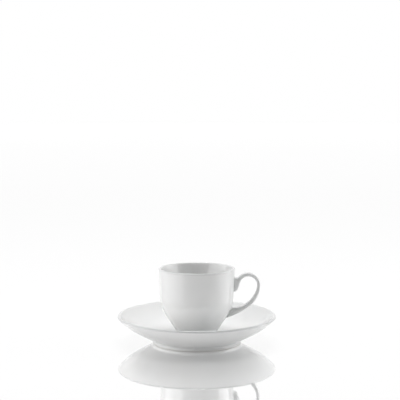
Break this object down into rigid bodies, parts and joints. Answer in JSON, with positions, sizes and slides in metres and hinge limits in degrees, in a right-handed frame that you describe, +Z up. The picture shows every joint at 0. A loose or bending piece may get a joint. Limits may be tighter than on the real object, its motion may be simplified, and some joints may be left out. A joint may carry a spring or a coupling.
{
  "type": "espresso cup with saucer",
  "caption": "Small white porcelain coffee cup with an ear-shaped strap handle, standing loose in the well of a flared round saucer; the cup lifts off.",
  "frame": {"origin": "on the saucer's axis, on the surface that its foot ring stands on", "axes": "+Z up along the common axis of saucer and cup, +X towards the cup's handle"},
  "size_m": [0.12, 0.12, 0.0566],
  "materials": {
    "saucer_porcelain": "clear gloss glaze over white porcelain, foot ring left bare",
    "cup_porcelain": "clear gloss glaze over white porcelain, foot ring left bare",
    "handle_porcelain": "clear gloss glaze over white porcelain"
  },
  "bodies": {
    "saucer": {"saucer": "saucer_porcelain"},
    "cup": {"cup_body": "cup_porcelain", "cup_handle": "handle_porcelain"}
  },
  "joints": [
    {"name": "cup_lift", "type": "slide", "parent": "saucer", "child": "cup", "axis": [0, 0, 1], "range_m": [0, 0.06]}
  ]
}
